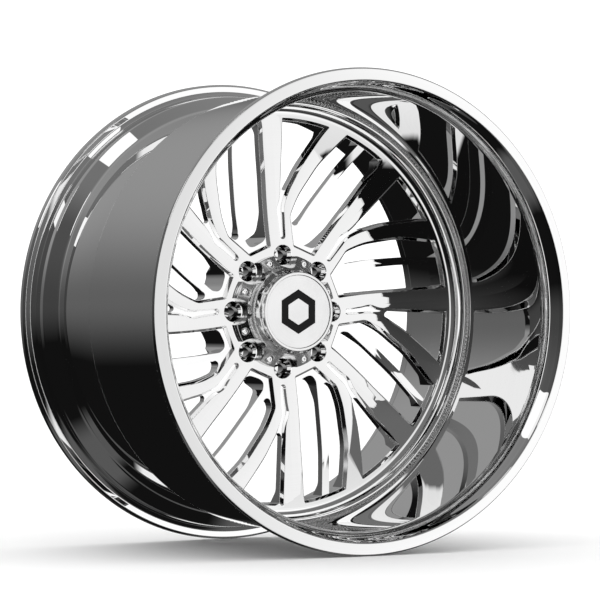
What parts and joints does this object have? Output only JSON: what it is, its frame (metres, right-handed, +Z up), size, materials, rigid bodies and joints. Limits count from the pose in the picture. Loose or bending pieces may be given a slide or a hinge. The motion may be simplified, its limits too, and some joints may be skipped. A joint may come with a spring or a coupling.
{
  "type": "forged wheel rim",
  "caption": "Wide deep-dish polished forged truck wheel with a directional split-spoke centre, bolt-on centre cap and tyre valve.",
  "frame": {"origin": "centre of the wheel's box: on the axle, halfway between the two flanges' outer edges", "axes": "the axle runs along Y, the outboard face looks towards -Y and the hub pad towards +Y; +Z is up and +X is to the right when the face is looked at"},
  "size_m": [0.7, 0.436, 0.7],
  "materials": {
    "polished_forging": "mirror-polished forged aluminium with fine turning and buffing lines",
    "weld_bead": "rippled weld bead, brushed bright",
    "cap_chrome": "chrome-plated aluminium, polished",
    "cap_disc": "fine satin silver lacquer",
    "enamel": "black enamel",
    "screw_steel": "bright stainless steel",
    "valve_nickel": "satin nickel plate",
    "core_brass": "turned brass",
    "seal_rubber": "black moulded rubber"
  },
  "bodies": {
    "wheel": {"barrel": "polished_forging", "centre_disc": "polished_forging", "seam_weld_front": "weld_bead", "seam_weld_rear": "weld_bead", "cap_body": "cap_chrome", "cap_face_disc": "cap_disc", "cap_emblem": "enamel", "cap_o_ring": "seal_rubber", "cap_screw_1": "screw_steel", "cap_screw_2": "screw_steel", "cap_screw_3": "screw_steel", "cap_screw_4": "screw_steel", "cap_screw_5": "screw_steel", "cap_screw_6": "screw_steel", "cap_screw_7": "screw_steel", "cap_screw_8": "screw_steel", "valve_stem": "valve_nickel", "valve_grommet_outer": "seal_rubber", "valve_grommet_inner": "seal_rubber", "valve_washer": "screw_steel", "valve_nut": "valve_nickel", "valve_core_body": "core_brass", "valve_core_spring": "screw_steel"},
    "valve_core_pin": {"valve_core_pin": "core_brass"},
    "valve_cap": {"valve_cap": "valve_nickel", "valve_cap_seal": "seal_rubber"}
  },
  "joints": [
    {"name": "valve_cap_off", "type": "slide", "parent": "wheel", "child": "valve_cap", "axis": [-0.9979, 0, -0.0654], "range_m": [0, 0.03]},
    {"name": "valve_core_press", "type": "slide", "parent": "wheel", "child": "valve_core_pin", "axis": [0.9979, 0, 0.0654], "range_m": [0, 0.0012], "stiffness_N_per_m": 1500, "deforming": ["valve_core_spring"]}
  ]
}
